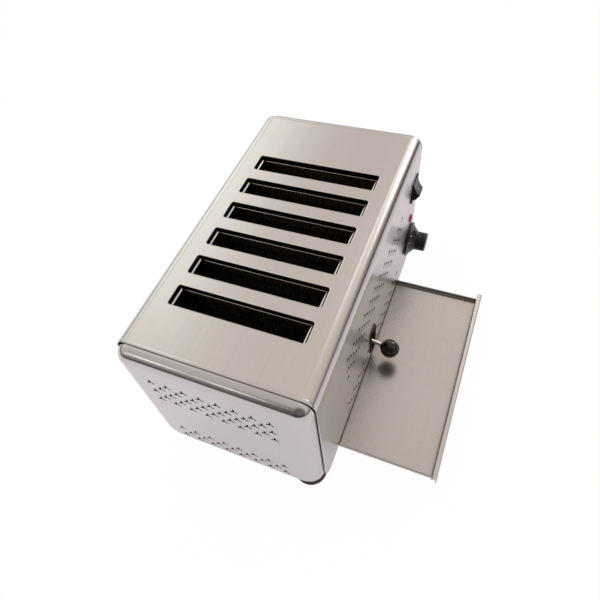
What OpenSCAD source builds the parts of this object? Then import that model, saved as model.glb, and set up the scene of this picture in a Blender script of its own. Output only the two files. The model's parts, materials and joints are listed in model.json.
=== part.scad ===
// Six-slot counter toaster with a pull-out crumb tray, a bread lift lever, a timer and a switch.
// X runs along the row of slots, the control face looks to -Y and Z is up.
// The origin is on the standing surface, under the middle of the casing.

/* [Casing] */
// Length of the bent outer sheet
body_length = 368; // [350:1:400]
// Width over the front and rear faces
body_width = 210; // [205:1:230]
// Height of the casing above its feet
body_height = 203; // [195:1:225]
// Thickness of the casing sheet
sheet = 1; // [0.8:0.1:1.4]
// Outer bend radius along the two top edges
edge_radius = 14; // [10:0.5:18]
// Open seam between the bent sheet and each end cap
cap_gap = 0.8; // [0.4:0.1:1.2]
// Radius of the pressed edge round each end cap
cap_round = 15; // [12:0.5:18]
// Radius of the bent sheet's and the base plate's lower corners
corner_cut = 24; // [18:0.5:26]
// Radius of each end cap's lower corners
cap_corner = 26; // [20:0.5:30]
// How far each end cap reaches inside the bent sheet
cap_skirt = 8; // [6:0.5:9]
// Thickness of the base plate
base_sheet = 1.2; // [1:0.1:2]
// Height of the flanges turned up from the base plate
base_flange = 10; // [8:0.5:14]

/* [Feet and screws] */
// Height of the rubber feet
foot_h = 22; // [16:0.5:28]
// Diameter of a foot at its top
foot_d = 40; // [32:1:42]
// How much a foot narrows on each side towards the bottom
foot_taper = 0.5; // [0.5:0.5:4]
// Bevel round the bottom of a foot
foot_bevel = 1.5; // [1:0.5:3]
// Rubber left above a foot's screw head
foot_seat = 6; // [4:0.5:8]
// Distance of the feet's screws from the cap skirts
foot_inset_x = 2.5; // [2.5:0.5:30]
// The same for the rear pair of feet
foot_rear_inset = 12; // [2.5:0.5:30]
// Distance of the feet from the front and rear faces
foot_inset_y = 25; // [22:1:40]
// Diameter of the foot screws
foot_screw_d = 4; // [3:0.5:4.5]
// Diameter of the casing screws
screw_d = 3.5; // [3:0.5:4]
// Height of the screw heads
screw_head = 2; // [1.5:0.1:2.5]
// Play of the screws in their holes
screw_play = 0.1; // [0.05:0.01:0.2]
// Distance of an end cap's outer screws from the feet's middles
cap_screw_gap = 30; // [28:1:36]
// Distance of the outer rear screws from the cap skirts
rear_screw_inset = 26; // [25:1:36]

/* [Bread slots] */
// Width of the bridges left between the bread slots
slot_bridge = 16.6; // [15:0.2:20]
// Distance of the slots' ends from the front and rear faces
slot_inset = 30; // [28:0.5:40]
// Corner radius of a slot
slot_corner = 3; // [1:0.5:6]
// Free bay between the near end of the casing and the heating chamber
end_bay = 37.3; // [34:0.1:42]
// Free bay between the heating chamber and the far end of the casing, for the controls
control_bay = 61.5; // [58:0.1:70]
// Depth of the lips turned down along the slots
slot_lip = 5; // [3:0.5:7]
// Depth of the sloped guides at the slots' ends
end_lip = 7; // [4:0.5:9]
// How far the end guides slope into the slots
end_lean = 3; // [1:0.5:5]

/* [Vents] */
// Half the distance between vents in one row
vent_step = 9.4; // [8.5:0.1:9.6]
// Distance between rows of vents
vent_row = 9.55; // [8.5:0.05:9.8]
// Length of each of a vent's three arms
vent_arm = 5; // [3:0.1:5.2]
// Width of a vent's arms
vent_width = 2.1; // [1:0.1:2.2]
// Depth of the first row below the top on the front and rear
vent_drop_long = 59.2; // [50:0.1:62]
// Depth of the first row below the top on the end caps
vent_drop_end = 41.5; // [38:0.1:56]
// Height of the long faces' lower first row above the casing's bottom edge
vent_rise_low = 38.5; // [36:0.1:44]
// Height of the end caps' lower first row above the casing's bottom edge
vent_rise_end = 43.5; // [40:0.1:50]
// Place of the middle of the front and rear vents along X
vent_shift_long = 1.3; // [-4:0.1:4]
// Place of the middle of the end caps' vents along Y
vent_shift_end = 3.2; // [-4:0.1:4]
// Free strip kept on each side of the lever slot's middle
vent_clear = 16; // [14:1:24]

/* [Crumb tray] */
// Length of the tray
tray_length = 190; // [180:1:196]
// Sheet thickness of the tray
tray_sheet = 1; // [0.8:0.1:1.2]
// Height of the tray's side and rear walls
tray_wall = 7; // [6:0.5:8]
// How far the tray stands pulled out
tray_out = 110; // [60:1:130]
// Height of the lip across the front of the tray
lip_height = 12; // [11:0.5:13]
// Depth of the lip's folded top
lip_depth = 6; // [4:0.5:9]
// How far the lip stands past the tray on each side
lip_overlap = 4; // [2.5:0.5:6]
// Play under and beside the sliding tray
tray_play = 0.5; // [0.3:0.1:0.9]
// Thickness of the rails beside the tray
rail_sheet = 1.5; // [1:0.1:2]
// How far the rails reach over the tray's walls
rail_lap = 3; // [2:0.5:5]
// Gap between the rails and the chamber's end plates
rail_gap = 2.1; // [1:0.1:4]

/* [Heating chamber] */
// Free space between the slots' ends and the chamber's walls
chamber_margin = 8; // [6:0.5:9]
// Thickness of the chamber's plates
plate = 1; // [0.8:0.1:1.4]
// Gap under the chamber's front and rear plates, above the rails
plate_gap = 1; // [0.5:0.1:3]
// Thickness of a heater board
board = 1.2; // [0.8:0.1:1.6]
// Depth of the heater boards' top edge below the top
board_drop = 14; // [10:1:20]
// Depth of the heater boards' bottom edge below the top
board_foot = 156; // [150:1:160]
// Width of a heating ribbon
ribbon_width = 3; // [2:0.5:5]
// Thickness of a heating ribbon
ribbon = 0.4; // [0.3:0.1:0.6]
// Diameter of the bread guard wires
wire_d = 1.8; // [1.4:0.1:2.2]
// Distance between upright guard wires
wire_step = 9.8; // [8:0.1:14]
// Depth of the guards' top wire below the top
guard_drop = 11; // [10:0.5:14]
// Diameter of the bus bars' insulators
insulator_d = 10; // [8:0.5:12]
// Length of the insulators
insulator_h = 8; // [6:0.5:9]
// Height of a bus bar
bus_h = 10; // [8:0.5:14]
// Thickness of a bus bar
bus_t = 1.5; // [1:0.1:2]

/* [Bread lift] */
// Depth of the bread racks' top below the top at rest
rack_drop = 112; // [108:1:116]
// Travel of the racks up from rest
lift_up = 22; // [12:0.5:24]
// Travel of the racks down from rest
lift_down = 13; // [8:0.5:13]
// Width of a bread rack
rack_width = 15; // [12:0.5:18]
// Thickness of the rack bars
rack_bar = 2.5; // [2:0.1:3]
// Thickness of the lift bars
lift_bar_t = 2; // [1.5:0.1:2.5]
// Height of the lift bars
lift_bar_h = 8; // [6:0.5:10]
// Gap between the lift bars and the chamber's walls
lift_gap = 6; // [4:0.5:7]
// Play of the racks in the chamber walls' openings
rack_play = 1.5; // [1:0.1:2]
// Diameter of the guide rods
guide_d = 5; // [4:0.5:6]
// Running play of the guide collars
guide_play = 0.1; // [0.05:0.01:0.15]
// Wall of the guide collars
collar_wall = 3; // [2:0.5:3.5]
// Height of the guide collars
collar_h = 8; // [6:0.5:10]
// Thickness of the guide rods' brackets
bracket_t = 2; // [1.5:0.1:3]
// Free way left above and below the collars
guide_spare = 4; // [2:0.5:6]

/* [Lever] */
// Place of the lever slot's middle along X
lever_x = -9; // [-14:0.5:-4]
// Height of the lever above the casing's bottom edge, where it leaves the front face
lever_rise = 37.5; // [37:0.5:42]
// Width of the lever slot
lever_slot_w = 16; // [8:0.5:18]
// Corner radius of the lever slot
lever_slot_corner = 2.5; // [1:0.5:3.5]
// Play of the rod at the ends of the lever slot
rod_play = 2.9; // [1:0.1:4]
// Width of the plate that carries the lever
lever_plate_w = 20; // [14:0.5:26]
// Thickness of the plate that carries the lever
lever_t = 2.5; // [2:0.1:3]
// Diameter of the lever rod
rod_d = 5; // [4:0.5:6]
// Downward tilt of the lever rod
rod_tilt = 16.6; // [10:0.1:17]
// Diameter of the ball on the lever
ball_d = 24; // [18:0.5:24]
// Distance of the ball's middle from the front face
ball_out = 23.5; // [22:0.5:30]
// Clearance of pressed and glued seats
seat_play = 0.05; // [0.02:0.01:0.1]

/* [Controls] */
// Distance of the controls' middle from the far end of the casing
control_inset = 22; // [20:0.5:26]
// Depth of the switch below the top
switch_drop = 60; // [50:1:66]
// Depth of the lamp below the top
lamp_drop = 112; // [100:1:114]
// Depth of the timer below the top
timer_drop = 153; // [148:1:156]
// Diameter of the timer knob's skirt
knob_d = 48; // [36:0.5:50]
// Diameter of the timer knob's grip
grip_d = 26; // [19:0.5:28]
// Height of the knob's skirt
skirt_h = 10; // [8:0.5:12]
// Height of the whole knob
knob_h = 25; // [19:0.5:27]
// Gap between the knob and the front face
knob_gap = 1; // [0.6:0.1:2]
// Flutes round the knob's grip
flutes = 18; // [12:1:24]
// Diameter of the timer's shaft
shaft_d = 6; // [5:0.5:6]
// Running play of the timer's shaft
shaft_play = 0.06; // [0.03:0.01:0.1]
// Diameter of the timer's case
timer_d = 27; // [22:0.5:27]
// Depth of the timer's case
timer_depth = 28; // [20:0.5:34]
// Width of the switch bezel
bezel_w = 26; // [24:0.5:28]
// Height of the switch bezel
bezel_h = 31; // [29:0.5:34]
// Thickness of the switch bezel
bezel_t = 2; // [1.5:0.1:2.8]
// Frame left around the rocker
bezel_frame = 3; // [2.8:0.1:3.6]
// Depth of the switch body behind the front face
switch_depth = 22; // [18:0.5:26]
// Swing of the rocker from one side to the other
rocker_swing = 28; // [18:1:30]
// Play around the rocker
rocker_play = 0.5; // [0.4:0.1:0.6]
// Diameter of the lamp's lens
lens_d = 11; // [9:0.5:13]
// How far the lens stands out
lens_out = 3; // [2:0.5:5]
// Depth of the lamp's body
lamp_depth = 22; // [16:0.5:28]
// Bore of the cord gland
gland_bore = 8.4; // [7:0.1:10]
// Thickness of the cord gland's outer collar
gland_collar = 5; // [3:0.5:8]
// Height of the cord gland above the casing's bottom edge
gland_rise = 31; // [28:0.5:60]
// Distance of the terminal block from the rear face
terminal_inset = 85; // [70:1:95]
// Height of the terminal block
terminal_h = 15; // [10:0.5:20]
// Distance between the terminals
terminal_step = 11; // [9:0.5:14]

/* [Hidden] */
$fn = 64;
slot_count = 6;

eps = 0.01;
top_z = foot_h + body_height;
base_top = foot_h + base_sheet;
front_y = -body_width / 2;
inner_y = body_width / 2 - sheet;
skirt_x = body_length / 2 - cap_skirt;

// Slots and chamber, which fill the casing between its two bays
chamber_left = end_bay - body_length / 2;
chamber_right = body_length / 2 - control_bay;
slot_shift = (chamber_left + chamber_right) / 2;
slot_pitch = (chamber_right - chamber_left - 2 * chamber_margin) / slot_count;
slot_width = slot_pitch - slot_bridge;
slot_length = body_width - 2 * slot_inset;
function slot_x(k) = slot_shift + (k - (slot_count - 1) / 2) * slot_pitch;
function heater_x(k) = slot_x(k) - slot_pitch / 2;
chamber_y = slot_length / 2 + chamber_margin;
wall_y = chamber_y + plate;
board_top = top_z - board_drop;
board_low = top_z - board_foot;
wire_flat = wire_d * cos(22.5);

// End caps
cap_inset = sheet + cap_gap;
cap_w = body_width - 2 * cap_inset;
cap_h = body_height - cap_inset - base_sheet;
cap_mid_z = base_top + cap_h / 2;

cap_screw_step = body_width / 2 - foot_inset_y - cap_screw_gap;

// Tray, between rails that stand beside the chamber's end plates
tray_x = (chamber_left + chamber_right) / 2;
rail_in = (chamber_right - chamber_left) / 2 - rail_gap - rail_sheet;
tray_half = rail_in - tray_play;
tray_z = base_top + tray_play;
tray_front = front_y - tray_out;
rail_h = tray_wall + 2 * tray_play + rail_sheet;
notch_w = 2 * (rail_in + rail_sheet);
notch_h = base_sheet + tray_wall + 2 * tray_play;

// Lift, with its middle line half-way up the rack bars
rack_z = top_z - rack_drop;
lift_z = rack_z - rack_bar / 2;
lift_y = wall_y + lift_gap;
collar_d = guide_d + 2 * collar_wall;
guide_y = lift_y + collar_d / 2 - 1;
guide_reach = max(lift_up, lift_down) + max(collar_h, lift_bar_h) / 2 + guide_spare;

// Lever
lever_z = foot_h + lever_rise;
lever_y = lift_y + lift_bar_t + lever_t;
rod_back = (body_width / 2 - lever_y) / cos(rod_tilt);
rod_low_z = lever_z + rod_back * sin(rod_tilt);
lever_slot_h = lift_up + lift_down + rod_d / cos(rod_tilt) + 2 * rod_play;
lever_slot_z = lever_z + (lift_up - lift_down) / 2;
ball_along = ball_out / cos(rod_tilt);
ball_seat = ball_d / 2 - 2;

// Controls
control_x = body_length / 2 - control_inset;
switch_z = top_z - switch_drop;
lamp_z = top_z - lamp_drop;
timer_z = top_z - timer_drop;
switch_body_w = bezel_w - 5;
switch_body_h = bezel_h - 4;
rocker_w = bezel_w - 2 * bezel_frame - 2 * rocker_play;
rocker_r = bezel_h / 2 - bezel_frame - rocker_play;
rocker_back = 3;
rocker_face = rocker_back - 0.5;
rocker_pin = 3;
rocker_well = rocker_r + rocker_back + rocker_play;
bush_d = shaft_d + 4;
bush_out = 6;
nut_t = 2.5;
nut_d = bush_d + 6;
shaft_in = 14;
shaft_out = knob_gap + knob_h - 4;
lens_stem = lens_d - 3;
gland_x = (chamber_right + plate + skirt_x) / 2;
gland_z = foot_h + gland_rise;
gland_neck = gland_bore + 6;
gland_outer = gland_bore + 10;

function dir(a) = [cos(a), sin(a)];

// Plain shapes

module rounded_rect(w, h, r) {
    square([w - 2 * r, h], center = true);
    square([w, h - 2 * r], center = true);
    for (sx = [-1, 1], sy = [-1, 1])
        translate([sx * (w / 2 - r), sy * (h / 2 - r)])
            circle(r);
}

// Stands a drawing made in X and Z upright, with its thickness going from y to y - t
module upright(y, t) {
    translate([0, y, 0])
        rotate([90, 0, 0])
            linear_extrude(t)
                children();
}

// Carries a drawing made in Y and Z along X
module along_x(length) {
    rotate([90, 0, 90])
        linear_extrude(length, center = true)
            children();
}

module box(x0, x1, y0, y1, z0, z1) {
    translate([x0, y0, z0])
        cube([x1 - x0, y1 - y0, z1 - z0]);
}

// Three-armed vent hole, one arm up
module vent() {
    inner = vent_width / 2 / sin(60);
    polygon([for (a = [90, 210, 330], k = [0:2])
        k == 0 ? vent_arm * dir(a) + vent_width / 2 * dir(a - 90) :
        k == 1 ? vent_arm * dir(a) + vent_width / 2 * dir(a + 90) :
        inner * dir(a + 60)]);
}

// Staggered rows of vents, every second row one vent shorter, with none in the strip skipped
module vent_band(columns, rows, skip_from = 0, skip_to = 0) {
    for (row = [0:rows - 1], col = [0:columns - 1 - row % 2]) {
        x = (2 * col + row % 2 - (columns - 1)) * vent_step;
        if (skip_from == skip_to || x < skip_from || x > skip_to)
            translate([x, -row * vent_row])
                vent();
    }
}

module long_face_vents() {
    lever = lever_x - vent_shift_long;
    translate([vent_shift_long, top_z - vent_drop_long])
        vent_band(12, 5);
    translate([vent_shift_long, foot_h + vent_rise_low])
        vent_band(12, 3, lever - vent_clear, lever + vent_clear);
}

// Casing

// Outline of the bent sheet from the end, or of its hollow: a flat top with two rounded edges
module wrap_outline(inset) {
    half = body_width / 2 - inset;
    round = edge_radius - inset;
    low = foot_h - inset;
    top = top_z - inset;
    translate([-half, low])
        square([2 * half, top - round - low]);
    translate([round - half, low])
        square([2 * (half - round), top - low]);
    for (side = [-1, 1])
        translate([side * (half - round), top - round])
            circle(round);
}

// Rounds off a long face's lower corners
module corner_cuts() {
    for (side = [0, 1])
        mirror([side, 0])
            translate([body_length / 2 - corner_cut, foot_h + corner_cut])
                difference() {
                    translate([0, -corner_cut - 1])
                        square(corner_cut + 1);
                    circle(corner_cut);
                }
}

module front_holes() {
    long_face_vents();
    corner_cuts();
    translate([lever_x, lever_slot_z])
        rounded_rect(lever_slot_w, lever_slot_h, lever_slot_corner);
    translate([tray_x - notch_w / 2, foot_h - 1])
        square([notch_w, notch_h + 1]);
    translate([control_x, timer_z])
        circle(bush_d / 2 + screw_play);
    translate([control_x, switch_z])
        square([switch_body_w + 2 * screw_play, switch_body_h + 2 * screw_play], center = true);
    translate([control_x, lamp_z])
        circle(lens_stem / 2 + screw_play);
}

module rear_holes() {
    long_face_vents();
    corner_cuts();
    translate([gland_x, gland_z])
        circle(gland_neck / 2 + screw_play);
    rear_screw_places()
        circle(screw_d / 2 + screw_play);
}

module outer_wrap() color("gainsboro") {
    difference() {
        along_x(body_length)
            difference() {
                wrap_outline(0);
                wrap_outline(sheet);
            }
        upright(front_y + 2 * sheet, 3 * sheet)
            front_holes();
        upright(body_width / 2 + sheet, 3 * sheet)
            rear_holes();
        translate([0, 0, top_z - 2 * sheet])
            linear_extrude(3 * sheet)
                for (k = [0:slot_count - 1])
                    translate([slot_x(k), 0])
                        rounded_rect(slot_width, slot_length, slot_corner);
    }
    for (k = [0:slot_count - 1])
        translate([slot_x(k), 0, top_z - sheet])
            slot_lips();
}

// Lips turned down along a slot's sides, and guides that slope in at its ends, rooted in the sheet
module slot_lips() {
    root = sheet / 2;
    for (side = [-1, 1])
        translate([side * (slot_width + sheet) / 2, 0, (root - slot_lip) / 2])
            cube([sheet, slot_length - 2 * slot_corner, slot_lip + root], center = true);
    end = slot_length / 2;
    for (side = [0, 1])
        mirror([0, side, 0])
            along_x(slot_width - 2 * slot_corner)
                polygon([[end, root], [end, 0], [end - end_lean, -end_lip], [end - end_lean + sheet, -end_lip],
                         [end + sheet, 0], [end + sheet, root]]);
}

// Quarter round of a cap's pressed edge with its skirt, measured outwards
module cap_section() {
    intersection() {
        difference() {
            circle(cap_round);
            circle(cap_round - sheet);
        }
        square(cap_round);
    }
    translate([cap_round - sheet, -cap_skirt])
        square([sheet, cap_skirt]);
}

// Pressed pan lying on its open side, with its width along X and its height along Y
module cap_pan() {
    flat = [cap_w - 2 * cap_round, cap_h - 2 * cap_round];
    low = cap_corner - cap_round;
    translate([0, 0, cap_round - sheet])
        linear_extrude(sheet)
            difference() {
                square(flat, center = true);
                for (side = [0, 1])
                    mirror([side, 0])
                        translate([flat[0] / 2 - low, low - flat[1] / 2])
                            difference() {
                                translate([0, -low - 1])
                                    square(low + 1);
                                circle(low);
                            }
                translate([vent_shift_end, top_z - vent_drop_end - cap_mid_z])
                    vent_band(8, 5);
                translate([vent_shift_end, foot_h + vent_rise_end - cap_mid_z])
                    vent_band(8, 3);
            }
    translate([0, flat[1] / 2, 0])
        along_x(flat[0])
            cap_section();
    rotate(180)
        translate([0, flat[1] / 2, 0])
            along_x(flat[0] - 2 * low)
                cap_section();
    for (side = [0, 1])
        mirror([side, 0, 0]) {
            translate([flat[0] / 2, low / 2, 0])
                rotate(-90)
                    along_x(flat[1] - low)
                        cap_section();
            translate([flat[0] / 2, flat[1] / 2, 0])
                rotate_extrude(angle = 90)
                    cap_section();
            translate([flat[0] / 2 - low, low - flat[1] / 2, 0])
                rotate(-90)
                    rotate_extrude(angle = 90)
                        translate([low, 0])
                            cap_section();
        }
}

// Cap on the +X end, with the holes of its screws
module end_cap() {
    difference() {
        translate([body_length / 2, 0, cap_mid_z])
            rotate([90, 0, 90])
                cap_pan();
        casing_screw_places()
            cylinder(d = screw_d + 2 * screw_play, h = base_top + 2 * sheet);
    }
}

module right_end_cap() color("silver")
    end_cap();

module left_end_cap() color("silver")
    mirror([1, 0, 0])
        end_cap();

module base_plate() color("darkgray") {
    reach = body_length / 2 - corner_cut - 6;
    flange_top = base_top + base_flange;
    difference() {
        translate([0, 0, foot_h])
            linear_extrude(base_sheet)
                rounded_rect(body_length, 2 * inner_y, corner_cut + 4);
        foot_places()
            cylinder(d = foot_screw_d + 2 * screw_play, h = base_top + 1);
        casing_screw_places()
            cylinder(d = screw_d + 2 * screw_play, h = base_top + 1);
    }
    difference() {
        box(-reach, reach, inner_y - base_sheet, inner_y, base_top, flange_top);
        upright(body_width / 2, sheet + 2 * base_sheet)
            rear_screw_places()
                circle(screw_d / 2 + screw_play);
    }
    box(-reach, tray_x - notch_w / 2 - 2, -inner_y, base_sheet - inner_y, base_top, flange_top);
    box(tray_x + notch_w / 2 + 2, reach, -inner_y, base_sheet - inner_y, base_top, flange_top);
}

module foot_places() {
    for (sx = [-1, 1], sy = [-1, 1])
        translate([sx * (skirt_x - (sy < 0 ? foot_inset_x : foot_rear_inset)), sy * (body_width / 2 - foot_inset_y), 0])
            children();
}

module rubber_feet() color([0.06, 0.06, 0.06])
    foot_places()
        difference() {
            low = foot_d / 2 - foot_taper;
            rotate_extrude()
                polygon([[0, 0], [low - foot_bevel, 0], [low, foot_bevel],
                         [foot_d / 2, foot_h - 2], [foot_d / 2, foot_h], [0, foot_h]]);
            translate([0, 0, -1])
                cylinder(d = 3 * foot_screw_d, h = foot_h - foot_seat + 1);
            cylinder(d = foot_screw_d + 2 * screw_play, h = foot_h + 1);
        }

module foot_screws() color("dimgray")
    foot_places()
        translate([0, 0, foot_h - foot_seat]) {
            translate([0, 0, -screw_head])
                cylinder(d = 2 * foot_screw_d, h = screw_head);
            cylinder(d = foot_screw_d, h = foot_seat + base_sheet + 4);
        }

module casing_screw_places() {
    for (sx = [-1, 1], n = [-1:1])
        translate([sx * (body_length / 2 - cap_skirt / 2), n * cap_screw_step, 0])
            children();
}

module casing_screws() color("dimgray")
    casing_screw_places() {
        translate([0, 0, foot_h - screw_head])
            cylinder(d = 2 * screw_d, h = screw_head);
        translate([0, 0, foot_h])
            cylinder(d = screw_d, h = base_sheet + sheet + 3);
    }

module rear_screw_places() {
    reach = skirt_x - rear_screw_inset;
    for (n = [0:3])
        translate([reach * (2 * n / 3 - 1), base_top + base_flange / 2])
            children();
}

module rear_screws() color("silver") {
    upright(body_width / 2 + screw_head, screw_head)
        rear_screw_places()
            circle(screw_d);
    upright(body_width / 2, sheet + base_sheet + 4)
        rear_screw_places()
            circle(screw_d / 2);
}

// Heating chamber

// Front or rear wall, with the upright openings that the racks travel in
module chamber_wall() {
    low = base_top + rail_h + plate_gap;
    difference() {
        translate([chamber_left, low])
            square([chamber_right - chamber_left, top_z - sheet - slot_lip - low]);
        for (k = [0:slot_count - 1])
            translate([slot_x(k) - rack_width / 2 - rack_play, lift_z - rack_bar / 2 - lift_down - rack_play])
                square([rack_width + 2 * rack_play, rack_bar + lift_up + lift_down + 2 * rack_play]);
    }
}

// Places of the two guide rods along X, between racks
function guide_x(side) = side < 0 ? heater_x(1) : heater_x(slot_count - 1);

module front_plate() color("lightgray") {
    upright(-chamber_y, plate)
        chamber_wall();
    for (side = [-1, 1], up = [-1, 1])
        translate([guide_x(side), 0, lift_z + up * (guide_reach + bracket_t / 2)])
            box(-collar_d / 2, collar_d / 2, -guide_y - guide_d, -wall_y, -bracket_t / 2, bracket_t / 2);
}

module rear_plate() color("lightgray")
    upright(wall_y, plate)
        chamber_wall();

module end_plate(x) {
    box(x, x + plate, -wall_y, wall_y, base_top, top_z - sheet);
}

module left_end_plate() color("lightgray")
    end_plate(chamber_left - plate);

module right_end_plate() color("lightgray")
    end_plate(chamber_right);

module heater_board(k) color("tan")
    box(heater_x(k) - board / 2, heater_x(k) + board / 2, -chamber_y, chamber_y, board_low, board_top);

// True for the sides of a heater board that have a slot beside them
function has_slot(k, side) = k + (side - 1) / 2 >= 0 && k + (side - 1) / 2 < slot_count;

module heater_ribbons() color("slategray")
    for (k = [0:slot_count], side = [-1, 1], row = [1:8])
        if (has_slot(k, side))
            translate([heater_x(k) + side * (board + ribbon) / 2, 0,
                       board_low + row * (board_top - board_low) / 9])
                cube([ribbon, slot_length, ribbon_width], center = true);

// Wire grids that keep the bread off one heater board, upright wires on the bread's side
module bread_guard(k) color("silver")
    for (side = [-1, 1])
        if (has_slot(k, side))
            translate([heater_x(k) + side * (slot_pitch - slot_width - wire_flat - 2 * sheet) / 2, 0, 0])
                guard_grid(side);

module guard_grid(side) {
    guard_top = top_z - guard_drop;
    count = floor((slot_length / 2 - end_lean - wire_d) / wire_step);
    for (z = [guard_top, (guard_top + board_low) / 2, board_low + wire_d])
        translate([-side * wire_flat, 0, z])
            rotate([90, 0, 0])
                rotate(22.5)
                    cylinder(d = wire_d, h = 2 * chamber_y, center = true, $fn = 8);
    for (n = [-count:count])
        translate([0, n * wire_step, board_low])
            rotate(22.5)
                cylinder(d = wire_d, h = guard_top + wire_d - board_low, $fn = 8);
}

// Heights of the two bus bars
bus_z = [board_top - bus_h, board_low + bus_h];

module bus_insulators() color("white")
    for (x = [heater_x(1), heater_x(slot_count - 1)], z = bus_z)
        translate([x, wall_y, z])
            rotate([-90, 0, 0])
                cylinder(d = insulator_d, h = insulator_h);

module bus_bars() color("peru")
    for (z = bus_z)
        box(heater_x(0), heater_x(slot_count), wall_y + insulator_h, wall_y + insulator_h + bus_t,
            z - bus_h / 2, z + bus_h / 2);

// Crumb tray

module tray_rails() color("darkgray")
    for (side = [0, 1])
        translate([tray_x, 0, base_top])
            mirror([side, 0, 0]) {
                box(rail_in, rail_in + rail_sheet, 2 - inner_y, chamber_y, 0, rail_h);
                box(rail_in - rail_lap, rail_in, 2 - inner_y, chamber_y, rail_h - rail_sheet, rail_h);
            }

module tray_pan() color("lightgray")
    translate([tray_x, tray_front - lip_depth + tray_sheet, tray_z]) {
        length = tray_length + lip_depth - tray_sheet;
        box(-tray_half, tray_half, 0, length, 0, tray_sheet);
        for (side = [0, 1])
            mirror([side, 0, 0])
                box(tray_half - tray_sheet, tray_half, lip_depth, length, tray_sheet, tray_wall);
        box(tray_sheet - tray_half, tray_half - tray_sheet, length - tray_sheet, length, tray_sheet, tray_wall);
    }

module tray_lip() color("whitesmoke") {
    half = tray_half + lip_overlap;
    translate([tray_x, tray_front - lip_depth, tray_z]) {
        box(-half, half, 0, tray_sheet, 0, lip_height - tray_sheet);
        box(-half, half, 0, lip_depth, lip_height - tray_sheet, lip_height);
    }
}

// Bread lift

module bread_rack(k) color("silver")
    translate([slot_x(k), 0, rack_z - rack_bar]) {
        for (side = [-1, 1])
            translate([side * (rack_width - rack_bar) / 2 - rack_bar / 2, -lift_y, 0])
                cube([rack_bar, 2 * lift_y, rack_bar]);
        for (n = [-3:3])
            translate([-rack_width / 2, n * slot_length / 7 - rack_bar / 2, 0])
                cube([rack_width, rack_bar, rack_bar]);
    }

module lift_strip() {
    half = (slot_count - 1) / 2 * slot_pitch + rack_width / 2 + 3;
    translate([slot_shift - half, lift_z - lift_bar_h / 2])
        square([2 * half, lift_bar_h]);
}

module lift_bar() color("silver")
    difference() {
        union() {
            upright(-lift_y, lift_bar_t)
                lift_strip();
            for (side = [-1, 1])
                translate([guide_x(side), -guide_y, lift_z - collar_h / 2])
                    cylinder(d = collar_d, h = collar_h);
        }
        for (side = [-1, 1])
            translate([guide_x(side), -guide_y, lift_z - collar_h])
                cylinder(d = guide_d + 2 * guide_play, h = 2 * collar_h);
    }

module rear_lift_bar() color("silver")
    upright(lift_y + lift_bar_t, lift_bar_t)
        lift_strip();

module guide_rods() color("gainsboro")
    for (side = [-1, 1])
        translate([guide_x(side), -guide_y, lift_z - guide_reach])
            cylinder(d = guide_d, h = 2 * guide_reach);

// Lever

module lever_plate() color("silver")
    box(lever_x - lever_plate_w / 2, lever_x + lever_plate_w / 2, -lever_y, lever_t - lever_y,
        rod_low_z - rod_d - 3, lift_z + lift_bar_h / 2);

// Places a shape along the tilted rod, measured out from where its axis meets the front face
module on_rod() {
    translate([lever_x, front_y, lever_z])
        rotate([90 + rod_tilt, 0, 0])
            children();
}

module lever_rod() color("whitesmoke")
    difference() {
        on_rod()
            translate([0, 0, -rod_back - rod_d])
                cylinder(d = rod_d, h = rod_back + rod_d + ball_along - ball_d / 2 + ball_seat);
        box(lever_x - rod_d, lever_x + rod_d, -lever_y, 2 * rod_d - lever_y,
            rod_low_z - 2 * rod_d, rod_low_z + 3 * rod_d);
    }

module lever_ball() color([0.05, 0.05, 0.05])
    on_rod()
        difference() {
            translate([0, 0, ball_along])
                sphere(d = ball_d);
            translate([0, 0, ball_along - ball_d])
                cylinder(d = rod_d + 2 * seat_play, h = ball_d / 2 + ball_seat);
        }

// Timer

// Places a shape on the front face at one of the controls, with its height out of the face
module on_face(z) {
    translate([control_x, front_y, z])
        rotate([90, 0, 0])
            children();
}

module timer_body() color("dimgray")
    on_face(timer_z)
        difference() {
            union() {
                translate([0, 0, -sheet - timer_depth])
                    cylinder(d = timer_d, h = timer_depth);
                translate([0, 0, -sheet])
                    cylinder(d = bush_d, h = sheet + bush_out);
            }
            translate([0, 0, -shaft_in])
                cylinder(d = shaft_d + 2 * shaft_play, h = shaft_in + bush_out + 1);
        }

module timer_nut() color("silver")
    on_face(timer_z)
        difference() {
            cylinder(d = nut_d, h = nut_t, $fn = 6);
            translate([0, 0, -1])
                cylinder(d = bush_d + 2 * screw_play, h = nut_t + 2);
        }

module timer_shaft() color("silver")
    on_face(timer_z)
        translate([0, 0, -shaft_in])
            cylinder(d = shaft_d, h = shaft_in + shaft_out);

module timer_knob() color([0.07, 0.07, 0.07])
    on_face(timer_z)
        translate([0, 0, knob_gap])
            difference() {
                rim = knob_d / 2;
                grip = grip_d / 2;
                rotate_extrude()
                    polygon([[0, 0], [rim - 0.5, 0], [rim, 0.5], [rim, 2], [grip + 3, skirt_h - 1],
                             [grip + 1, skirt_h], [grip, skirt_h + 2], [grip - 0.6, knob_h - 1],
                             [grip - 1.6, knob_h], [0, knob_h]]);
                translate([0, 0, -1])
                    cylinder(d = nut_d + 2, h = bush_out + 1);
                translate([0, 0, -1])
                    cylinder(d = shaft_d + 2 * seat_play, h = shaft_out - knob_gap + 1);
                for (n = [0:flutes - 1])
                    rotate(360 / flutes * n)
                        translate([grip + 0.5, 0, skirt_h + 2.5])
                            cylinder(r = 1.3, h = knob_h);
            }

// Switch

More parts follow.
